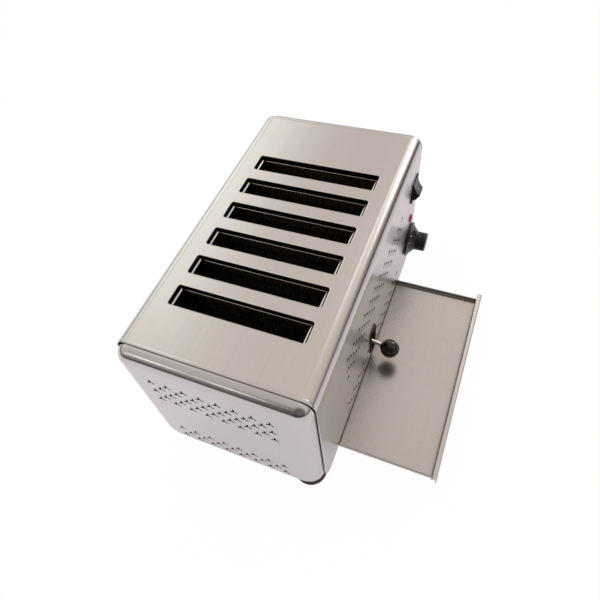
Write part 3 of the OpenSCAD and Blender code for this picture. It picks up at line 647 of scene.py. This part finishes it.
def gridFaces(rows, columns, loopRows=False):
    # four-sided faces between each row of points and the next; every row is a ring, and the rows may loop too
    a, b = np.meshgrid(np.arange(rows - (not loopRows)), np.arange(columns), indexing="ij")
    a, b = a.ravel(), b.ravel()
    c, d = (a + 1) % rows, (b + 1) % columns
    return np.stack([a * columns + b, a * columns + d, c * columns + d, c * columns + b], 1).tolist()


def rowFace(row, columns):
    return list(range(row * columns, (row + 1) * columns))


def lathe(profile, turns, ripple=None):
    # (r cos t, r sin t, h) for each profile point (r, h) and angle t, with r reduced by ripple(r, h, t)
    r, h = np.array(profile, float).T
    r, h, t = np.broadcast_arrays(r[:, None], h[:, None], fullTurn(turns)[None, :])
    if ripple is not None:
        r = r - ripple(r, h, t)
    places = np.stack([r * np.cos(t), r * np.sin(t), h], -1)
    closed = profile[0][0] > 1e-6      # a profile that starts off the axis is a ring
    return places.reshape(-1, 3), gridFaces(places.shape[0], turns, closed)


def sweep(path, across, upward, profile, loopPath=False):
    # path(i) + u(j) across(i) + v(j) upward(i), the profile (u, v) being closed
    # across and upward are rows as long as the path, or one direction for all of it
    u, v = np.array(profile, float).T[:, None, :, None]
    across, upward = (np.broadcast_to(way, path.shape)[:, None, :] for way in (across, upward))
    places = path[:, None, :] + u * across + v * upward
    rows, columns = places.shape[:2]
    faces = gridFaces(rows, columns, loopPath)
    if not loopPath:
        faces += [rowFace(0, columns), rowFace(rows - 1, columns)]
    return places.reshape(-1, 3), faces


def arc(middle, radius, start, end, steps):
    # middle + radius (cos t, sin t), as a list of points
    t = np.radians(np.linspace(start, end, steps + 1))
    return [(middle[0] + radius * math.cos(a), middle[1] + radius * math.sin(a)) for a in t]


def straight(start, end, steps):
    # (1 - t) start + t end
    t = np.linspace(0, 1, steps + 1)[:, None]
    return np.array(start, float) * (1 - t) + np.array(end, float) * t


def roundedLoop(width, length, corner, steps=6):
    # corner's middle + radius (cos t, sin t), a quarter turn for each, and the outward way (cos t, sin t)
    t = np.radians(np.linspace([0, 90, 180, 270], [90, 180, 270, 360], steps + 1, axis=1))
    away = np.stack([np.cos(t), np.sin(t)], -1)
    middles = (np.array([width, length]) / 2 - corner) * [[1, 1], [-1, 1], [-1, -1], [1, -1]]
    return (middles[:, None, :] + corner * away).reshape(-1, 2), away.reshape(-1, 2)


def place(shape, origin, xAxis, yAxis, zAxis):
    points, faces = shape
    return np.array(origin) + points @ np.array([xAxis, yAxis, zAxis], float), faces


def merge(shapes):
    places, faces, count = [], [], 0
    for points, polygons in shapes:
        places.append(points)
        faces += [[i + count for i in polygon] for polygon in polygons]
        count += len(points)
    return np.concatenate(places), faces


def putMesh(name, shape, slot, body, stands=(), sharp=35, finish=None):
    places, faces = shape
    mesh = bpy.data.meshes.new(name)
    mesh.from_pydata((places * mm).tolist(), [], faces)
    work = bmesh.new()
    work.from_mesh(mesh)
    bmesh.ops.remove_doubles(work, verts=work.verts, dist=touching)
    bmesh.ops.recalc_face_normals(work, faces=work.faces)
    work.to_mesh(mesh)
    work.free()
    mesh.polygons.foreach_set("use_smooth", np.ones(len(mesh.polygons), bool))
    mesh.set_sharp_from_angle(angle=math.radians(sharp))
    mesh.materials.append(finish or finishes[slot])
    piece = bpy.data.objects.new(name, mesh)
    bpy.context.scene.collection.objects.link(piece)
    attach(piece, body)
    if stands:
        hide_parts(*stands)


# bread slots: rolled rims round them, bright strips inside their short ends, and guard rails along them
breadSlots = {"count": 6, "pitch": 42.2, "shift": -12.1, "width": 25.6, "length": 150.0, "corner": 3.0}
slotMiddles = breadSlots["shift"] + breadSlots["pitch"] * (
    np.arange(breadSlots["count"]) - (breadSlots["count"] - 1) / 2)

slotRim = {
    "bead": 0.55,       # radius of the rolled edge
    "apron": 1.9,       # in beads, how far the rim lies over the sheet
    "roundIn": 0.6,     # in beads, where the round's middle lies
    "roundDrop": 0.75,
    "stand": 0.04,
    "sink": 0.6,
    "drop": 1.4,        # how far the rim goes down inside
    "hem": 0.2,         # in beads, where its lower end turns back to
}


def buildSlotRims(slots, v):
    loop, away = roundedLoop(slots["width"], slots["length"], slots["corner"])
    outward = np.column_stack([away, np.zeros(len(away))])
    b = v["bead"]
    apron = v["apron"] * b
    # rolled edge: from the sheet's top over a small round and down the inside
    profile = ([(apron, -v["sink"]), (apron, v["stand"])]
               + arc((v["roundIn"] * b, -v["roundDrop"] * b), b, 55, 180, 6)
               + [((v["roundIn"] - 1) * b, -v["drop"]), (v["hem"] * b, -v["drop"])])
    rims = []
    for x in slotMiddles:
        path = np.column_stack([loop + (x, 0), np.full(len(loop), topZ)])
        rims.append(sweep(path, outward, alongZ, profile, True))
    putMesh("slotRims", merge(rims), "steel_wrap", "casing")


slotStrip = {
    "inside": 3.3,      # distance inside the slot's short edge
    "drop": 4.5,
    "width": 1.4,
    "edge": 0.35,       # radius of its two edges
    "endGap": 1.6,
    "lean": (0.89, 0.45),
}


def buildSlotStrips(slots, v):
    reach, half = slots["width"] / 2 - v["endGap"], v["width"] / 2
    z = topZ - v["drop"]
    flat, steep = v["lean"]
    section = arc((-half, 0), v["edge"], 90, 270, 6) + arc((half, 0), v["edge"], -90, 90, 6)
    strips = []
    for x in slotMiddles:
        for side in (-1, 1):
            y = side * (slots["length"] / 2 - v["inside"])
            line = straight((x - reach, y, z), (x + reach, y, z), 6)
            strips.append(sweep(line, (0, -side * flat, -steep), (0, -side * steep, flat), section))
    putMesh("slotStrips", merge(strips), "steel_lip", "casing")


guardRail = {"off": 13.4, "drop": 8.6, "radius": 0.85, "reach": 82.5}      # off: from the slot's middle


def buildGuardRails(v):
    z = topZ - v["drop"]
    section = arc((0, 0), v["radius"], 0, 345, 23)
    rails = []
    for x in slotMiddles:
        for railX in (x - v["off"], x + v["off"]):
            rail = straight((railX, -v["reach"], z), (railX, v["reach"], z), 12)
            rails.append(sweep(rail, alongX, alongZ, section))
    putMesh("guardRails", merge(rails), "wire", "casing")


buildSlotRims(breadSlots, slotRim)
buildSlotStrips(breadSlots, slotStrip)
buildGuardRails(guardRail)
print("slot rims, strips and rails built")


# rolled ends of the bent sheet, a low bead that follows its outline at both ends
rolledEnd = {
    "wide": 3.2,
    "rise": 0.35,
    "crown": (0.35, 0.6),      # in widths, where its round's middle lies and how far it reaches
    "crownTurn": (8, 160),     # degrees of that round
    "past": 0.25,              # how far it stands out past the sheet's edge
    "sink": 0.9,
    "root": 0.5,
    "edgeDrop": 0.3,
    "endDrop": 0.1,
    "bend": 14.0,              # the sheet's own bend
    "stop": 25.0,              # how far above the sheet's foot it ends
}


def buildRolledEnds(v):
    b = v["bend"]
    low = wrapLow[2] + v["stop"]
    # outline of the sheet in Y and Z with its outward direction: up the front, over, down the rear
    t = np.radians(np.linspace(180, 90, 13))
    around = np.stack([np.cos(t), np.sin(t)], 1)
    rising = [(frontY, low), (frontY, (low + topZ) / 2)]
    outline = np.concatenate([rising, np.array([frontY + b, topZ - b]) + b * around])
    outward = np.concatenate([[(-1, 0), (-1, 0)], around])
    line, away = (np.concatenate([front, (front * (-1, 1))[::-1]]) for front in (outline, outward))
    w, past, sink = v["wide"], v["past"], v["sink"]
    at, half = v["crown"]
    # bead in section, inward along the sheet: down past the edge, over a flat round, to nothing
    a = np.radians(np.linspace(*v["crownTurn"], 12))
    crown = np.stack([at * w - half * w * np.cos(a), v["rise"] * np.sin(a)], 1)
    bead = [(v["root"], -sink), (-past, -sink), (-past, -v["edgeDrop"]), *crown, (w, -v["endDrop"])]
    upward = np.column_stack([np.zeros(len(line)), away])
    shapes = []
    for inward, x in ((alongX, wrapLow[0]), (-alongX, wrapHigh[0])):
        path = np.column_stack([np.full(len(line), x), line])
        shapes.append(sweep(path, inward, upward, bead))
    putMesh("rolledEnds", merge(shapes), "steel_lip", "casing")


buildRolledEnds(rolledEnd)
print("rolled ends built")


# crumb tray: a bent pan with rolled wall tops
trayPan = {
    "sheet": 1.0,
    "bend": 2.2,
    "hem": 1.05,         # radius of the rolled tops
    "hemEnd": 2.2,       # in hems, how far down the roll ends
    "rearFoot": 12.0,    # how far the back wall's foot reaches over the floor
    "rearLift": 0.2,
}


def buildTrayPan(v):
    low, high = boxOf("tray_pan")
    middle, half = (low[0] + high[0]) / 2, (high[0] - low[0]) / 2
    back, wallTop = (high - low)[1:]
    t, r, h = v["sheet"], v["bend"], v["hem"]
    # one wall in section, from its foot: outside bend, rolled top, inside bend
    wall = (arc((half - r, r), r, -90, 0, 6) + arc((half - h, wallTop - h), h, 0, 200, 10)
            + [(half - t, wallTop - v["hemEnd"] * h)] + arc((half - r, r), r - t, 0, -90, 6))
    section = wall + [(-x, z) for x, z in reversed(wall)]
    line = straight((middle, low[1], low[2]), (middle, high[1], low[2]), 24)
    pan = sweep(line, alongX, alongZ, section)
    foot = back - v["rearFoot"]
    rear = [(x - half + back, z) for x, z in wall] + [(foot, t), (foot, v["rearLift"])]
    line = straight((middle - half + t, low[1], low[2]), (middle + half - t, low[1], low[2]), 24)
    backWall = sweep(line, alongY, alongZ, rear)
    putMesh("trayPan", merge([pan, backWall]), "steel_tray", "tray", ("tray_pan",))


# folded lip across the tray's front
trayLip = {"front": 1.0, "sheet": 0.8, "bend": 1.6, "hem": 2.4}


def buildTrayLip(v):
    low, high = boxOf("tray_lip")
    deep, tall = (high - low)[1:]
    b, t = v["bend"], v["sheet"]
    hemZ = tall - v["hem"]
    near, far = (b, tall - b), (deep - b, tall - b)
    # lip in section: up the front, over the bend, back along the top, down the hem, and back inside
    fold = ([(v["front"], 0.0), (0.0, 0.0)] + arc(near, b, 180, 90, 6) + arc(far, b, 90, 0, 6)
            + [(deep, hemZ), (deep - t, hemZ)] + arc(far, b - t, 0, 90, 4) + arc(near, b - t, 90, 180, 4))
    line = straight(low, (high[0], low[1], low[2]), 24)
    putMesh("trayLip", sweep(line, alongY, alongZ, fold), "steel_lip", "tray", ("tray_lip",))


buildTrayPan(trayPan)
buildTrayLip(trayLip)
print("tray built")


# lever ball on its rod, a turned ball with a short neck
leverBall = {"radius": 12.0, "neck": 4.3, "neckLong": 1.4, "neckEdge": 0.5, "tilt": 16.6}


def buildBall(v):
    low, high = boxOf("lever_ball")
    radius, neck, edge = v["radius"], v["neck"], v["neckEdge"]
    # radius (sin a, -cos a), from the neck to the far pole
    a = np.linspace(math.asin(neck / radius), math.pi, 40)
    ball = np.stack([radius * np.sin(a), -radius * np.cos(a)], 1)
    foot = ball[0, 1] - v["neckLong"]
    profile = [(0, foot), (neck - edge, foot), (neck, foot + edge), *ball[:-1], (0, radius)]
    up, out = math.sin(math.radians(v["tilt"])), math.cos(math.radians(v["tilt"]))
    ball = place(lathe(profile, 64), (low + high) / 2, alongX, (0, up, -out), (0, -out, -up))
    putMesh("leverBall", ball, "black_gloss", "lift", ("lever_ball",))


buildBall(leverBall)


# timer knob: thin skirt, hollow cone, fluted grip
timerKnob = {
    "skirtWall": 3.0, "skirtLift": 1.0, "skirtTall": 2.3, "skirtEdge": 0.6,
    "skirtTop": (0.2, 0.4),      # in from the skirt's edge, and up to the cone
    "coneFoot": (0.5, 2.9),      # in from the skirt's edge, and height
    "coneTop": (1.7, 9.3),       # out from the grip, and height
    "coneHollow": 1.5,           # power of the cone's inward curve
    "gripShare": 0.54,           # grip's radius over the skirt's
    "gripFoot": 11.0, "gripTaper": 0.3, "gripEdge": 1.4, "gripStop": 0.1,
    "gripRoot": (0.9, 1.1),      # out from the grip, and below its foot
    "gripFlare": (0.2, 0.5),     # out from the grip at its foot, and height of that flare
    "dish": (3.5, 0.25, 0.35),   # top face: in from the grip, and depth there and in the middle
    "flutes": 18, "fluteDeep": 0.5,
    "fluteRun": (1.5, 1.2),      # run-out of the flutes at the foot and at the top
    "fluteTop": 0.4, "fluteWall": 1.2,
}

# painted marks round the knob's cone
knobMarks = {
    "count": 11, "turns": (-60.0, 240.0),
    "start": 0.34,               # share of the way up the cone
    "long": 3.0,
    "wide": (1.5, 0.9),          # every other mark is narrower
    "proud": 0.16, "thick": 0.25, "steps": 6,
}


def buildKnob(v, m):
    low, high = boxOf("timer_knob")
    rim, tall = (high[0] - low[0]) / 2, high[1] - low[1]
    grip = v["gripShare"] * rim
    setting = (((low[0] + high[0]) / 2, high[1], (low[2] + high[2]) / 2), alongX, alongZ, -alongY)

    # cone curved inwards between the skirt's edge and the grip: radius and height at a share s of the way
    def coneAt(s):
        footR, topR = rim - v["coneFoot"][0], grip + v["coneTop"][0]
        footH, topH = v["coneFoot"][1], v["coneTop"][1]
        return np.stack([footR + (topR - footR) * s, footH + (topH - footH) * s ** v["coneHollow"]], 1)

    wallR, lift, edge = rim - v["skirtWall"], v["skirtLift"], v["skirtEdge"]
    skirt = [(0, lift), (wallR, lift), (wallR, 0), (rim - edge, 0), (rim, edge), (rim, v["skirtTall"])]
    skirt.append((rim - v["skirtTop"][0], v["skirtTall"] + v["skirtTop"][1]))
    foot, taper, top = v["gripFoot"], v["gripTaper"], v["gripEdge"]
    rootOut, rootDrop = v["gripRoot"]
    flareOut, flareTall = v["gripFlare"]
    dishIn, dishEdge, dishDeep = v["dish"]
    side = straight((grip, foot + flareTall), (grip - taper, tall - top - v["gripStop"]), 8)
    profile = [*skirt, *coneAt(np.linspace(0, 1, 12)),
               (grip + rootOut, foot - rootDrop), (grip + flareOut, foot), *side,
               *arc((grip - taper - top, tall - top), top, 0, 90, 5),
               (grip - dishIn, tall - dishEdge), (0, tall - dishDeep)]

    # flutes: squared cosine round the grip, running out at the foot and at the top
    def flute(r, h, t):
        footRun, topRun = v["fluteRun"]
        end = tall - v["fluteTop"]
        along = np.clip((h - foot) / footRun, 0, 1) * np.clip((end - h) / topRun, 0, 1)
        around = np.clip(np.cos(v["flutes"] * t), 0, 1) ** 2
        return v["fluteDeep"] * along * (r > grip - v["fluteWall"]) * around

    knob = place(lathe(profile, 144, flute), *setting)
    putMesh("timerKnob", knob, "black_satin", "timer", ("timer_knob",))

    steps = m["steps"]
    r, h = coneAt(np.linspace(m["start"], m["start"] + m["long"] / (rim - grip), steps)).T[:, :, None]
    marks = []
    for k, turn in enumerate(np.radians(np.linspace(*m["turns"], m["count"]))):
        # a thin bar along the cone: r outwards, its half width either way, and h
        off = np.array([-0.5, 0.5]) * m["wide"][k % 2]
        x = r * math.cos(turn) - off * math.sin(turn)
        y = r * math.sin(turn) + off * math.cos(turn)
        top = np.stack([x, y, h + m["proud"] + 0 * off], -1)
        bar = np.concatenate([top, top[:, ::-1] - (0, 0, m["thick"])], 1)
        faces = gridFaces(steps, 4) + [rowFace(0, 4), rowFace(steps - 1, 4)]
        marks.append((bar.reshape(-1, 3), faces))
    putMesh("knobMarks", place(merge(marks), *setting), "ceramic", "timer", finish=markPaint)


buildKnob(timerKnob, knobMarks)
print("ball and knob built")


# domed lamp lens
lampLens = {"dome": 1.5, "seatWall": 1.5, "seatDeep": 1.5, "seatGap": 0.02}


def buildLens(v):
    low, high = boxOf("lamp_lens")
    r, out = (high[0] - low[0]) / 2, frontY - low[1]
    # (r cos a, rise sin a), a quarter turn on a flat seat
    a = np.linspace(0, math.pi / 2, 12)
    dome = np.stack([r * np.cos(a), out - v["dome"] + v["dome"] * np.sin(a)], 1)
    seat, gap = r - v["seatWall"], v["seatGap"]
    profile = [(0, -v["seatDeep"]), (seat, -v["seatDeep"]), (seat, gap), (r, gap), *dome[:-1], (0, out)]
    middle = ((low[0] + high[0]) / 2, frontY, (low[2] + high[2]) / 2)
    lens = place(lathe(profile, 48), middle, alongX, alongZ, -alongY)
    putMesh("lampLens", lens, "lamp_red", "casing", ("lamp_lens",))


# rocker with a ridge, and a short painted bar on its upper face
switchRocker = {
    "height": 165.0,      # of its pivot
    "pivotIn": 3.0,       # pivot's distance behind the bezel
    "swing": 12.1,        # radius of its round back
    "ridge": 7.8, "ridgeDrop": 3.6,
    "topOut": 0.2, "lowOut": 4.0,
    "topHollow": 0.9, "lowHollow": 0.5,
    "topGap": 0.4, "sideGap": 1.2,
    "endRound": 0.7, "endShare": 0.95,
}
rockerMark = {"at": 0.66, "halfWide": 0.6, "halfLong": 1.9, "proud": 0.14, "deep": 0.3}


def buildRocker(v, m):
    low, high = boxOf("switch_rocker")
    bezelY = boxOf("switch_housing")[0][1]
    x, z = (low[0] + high[0]) / 2, v["height"]
    reach = (high[2] - low[2]) / 2 - v["topGap"]
    wide = (high[0] - low[0]) / 2 - v["sideGap"]
    ridge, drop, lowOut, swing = v["ridge"], v["ridgeDrop"], v["lowOut"], v["swing"]
    foot = math.sqrt(swing ** 2 - (lowOut + v["pivotIn"]) ** 2)

    # a slightly hollow face at shares s of the way: straight from start to end, less hollow sin(pi s)
    def hollowFace(s, start, end, hollow):
        out = start[0] + (end[0] - start[0]) * s - hollow * np.sin(np.pi * s)
        return np.stack([out, start[1] + (end[1] - start[1]) * s], 1)

    upperFace = ((v["topOut"], reach), (ridge, -drop), v["topHollow"])
    lowerFace = ((ridge, -drop), (lowOut, -foot), v["lowHollow"])
    s = np.linspace(0, 1, 9)
    # its back is round about the pivot, so that it turns inside the well
    first = math.degrees(math.atan2(-foot, lowOut + v["pivotIn"]))
    last = math.degrees(math.atan2(reach, v["topOut"] + v["pivotIn"])) - 360
    behind = arc((-v["pivotIn"], 0), swing, first, last, 30)[1:-1]
    section = [*hollowFace(s, *upperFace), *hollowFace(s, *lowerFace)[1:], *behind]
    path = straight((x - wide, bezelY, z), (x + wide, bezelY, z), 12)
    # the ends drawn in a little, as a moulded edge
    share = np.ones((len(path), 1))
    share[[0, -1]] = v["endShare"]
    path[1, 0], path[-2, 0] = path[0, 0] + v["endRound"], path[-1, 0] - v["endRound"]
    rocker = sweep(path, -alongY * share, alongZ * share, section)
    putMesh("switchRocker", rocker, "black_gloss", "rocker", ("switch_rocker",), 30)

    [(out, height)] = hollowFace(np.array([m["at"]]), *upperFace)
    y, z = bezelY - out, z + height
    bar = straight((x - m["halfWide"], y, z), (x + m["halfWide"], y, z), 3)
    slope = math.atan2(reach + drop, ridge)
    outward = (0, -math.sin(slope), math.cos(slope))
    upward = (0, math.cos(slope), math.sin(slope))
    deep, proud, half = m["deep"], m["proud"], m["halfLong"]
    section = [(-deep, -half), (proud, -half), (proud, half), (-deep, half)]
    putMesh("rockerMark", sweep(bar, outward, upward, section), "ceramic", "rocker", finish=markPaint)


buildLens(lampLens)
buildRocker(switchRocker, rockerMark)
print("lamp and switch built")


# raised black trim round the lever's slot
leverRim = {
    "middle": -9.0, "height": 64.0, "width": 16.0, "length": 45.8, "corner": 2.5,
    "proud": 2.2,
    "inside": 0.28,      # how far it reaches into the slot
    "outside": 1.3,      # how far it lies over the sheet
    "sink": 0.3, "drop": 1.1, "hem": 0.2,
}


def buildLeverRim(v):
    loop, away = roundedLoop(v["width"], v["length"], v["corner"])
    path = np.stack([loop[:, 0] + v["middle"], np.full(len(loop), frontY), loop[:, 1] + v["height"]], 1)
    outward = np.stack([away[:, 0], np.zeros(len(away)), away[:, 1]], 1)
    # trim in section: up the outer wall, over the round, down into the slot
    b = (v["outside"] + v["inside"]) / 2
    profile = ([(v["outside"], -v["sink"])] + arc((v["outside"] - b, v["proud"] - b), b, 0, 180, 8)
               + [(-v["inside"], -v["drop"]), (v["hem"], -v["drop"])])
    putMesh("leverRim", sweep(path, outward, -alongY, profile, True), "black_satin", "casing")


buildLeverRim(leverRim)
print("lever trim built")


# rubber feet: a turned block with a well for its screw
rubberFeet = {
    "radius": 20.0, "footRound": 1.6, "footIn": 0.5, "topRound": 1.0,
    "well": 6.0, "wellDeep": 16.0,
    "boreShare": 2.9,      # well's radius over the screw bore's
    "rearInset": 9.5,
}


def buildFeet(v):
    low, high = boxOf("rubber_feet")
    radius, tall, b, top = v["radius"], high[2], v["footRound"], v["topRound"]
    well, deep = v["well"], v["wellDeep"]
    bore = well / v["boreShare"]
    section = ([(well, 0.0)] + arc((radius - v["footIn"] - b, b), b, -90, 0, 5)
               + arc((radius - top, tall - top), top, 0, 90, 4) + [(bore, tall), (bore, deep), (well, deep)])
    points, faces = lathe(section, 56)
    feet = []
    for y, inset in ((low[1] + radius, 0.0), (high[1] - radius, v["rearInset"])):
        for x in (low[0] + radius + inset, high[0] - radius - inset):
            feet.append((points + (x, y, 0), faces))
    putMesh("rubberFeet", merge(feet), "rubber", "casing", ("rubber_feet",))


# cross-headed screws in the rear
rearScrews = {
    "count": 4, "radius": 3.5, "tall": 2.0,
    "domeShare": 0.8,      # 1 would be a full dome
    "skirtTall": 0.25, "skirtIn": 0.4,
    "crossWide": 0.5, "crossDeep": 0.95, "crossSoft": 0.15,
    "crossLong": 2.1, "crossRun": 0.5,
    "turns": 96,
}


def buildRearScrews(v):
    low, high = boxOf("rear_screws")
    radius, turns = v["radius"], v["turns"]
    # domed head, h = tall sqrt(1 - share (r/R)^2), less a cross-shaped recess that runs out at its ends
    r = np.concatenate([np.linspace(0, radius, 22), [radius, radius - v["skirtIn"]]])
    r, t = np.meshgrid(r, fullTurn(turns), indexing="ij")
    x, y = r * np.cos(t), r * np.sin(t)
    h = v["tall"] * np.sqrt(1 - v["domeShare"] * (r / radius) ** 2)
    off = np.minimum(np.abs(x), np.abs(y))      # distance from the nearer arm's middle line
    arm = np.clip((v["crossWide"] - off) / v["crossSoft"], 0, 1)
    h = h - v["crossDeep"] * arm * np.clip((v["crossLong"] - r) / v["crossRun"], 0, 1)
    h[-2:] = [[v["skirtTall"]], [0.0]]
    h[0] = h[0].mean()
    rows = len(r)
    faces = gridFaces(rows, turns) + [rowFace(rows - 1, turns)]
    head = (np.stack([x, y, h], -1).reshape(-1, 3), faces)
    z = (low[2] + high[2]) / 2
    screws = [place(head, (screwX, rearY, z), alongX, alongZ, alongY)
              for screwX in np.linspace(low[0] + radius, high[0] - radius, v["count"])]
    putMesh("rearScrews", merge(screws), "screw", "casing", ("rear_screws",))


buildFeet(rubberFeet)
buildRearScrews(rearScrews)
print("feet and screws built")
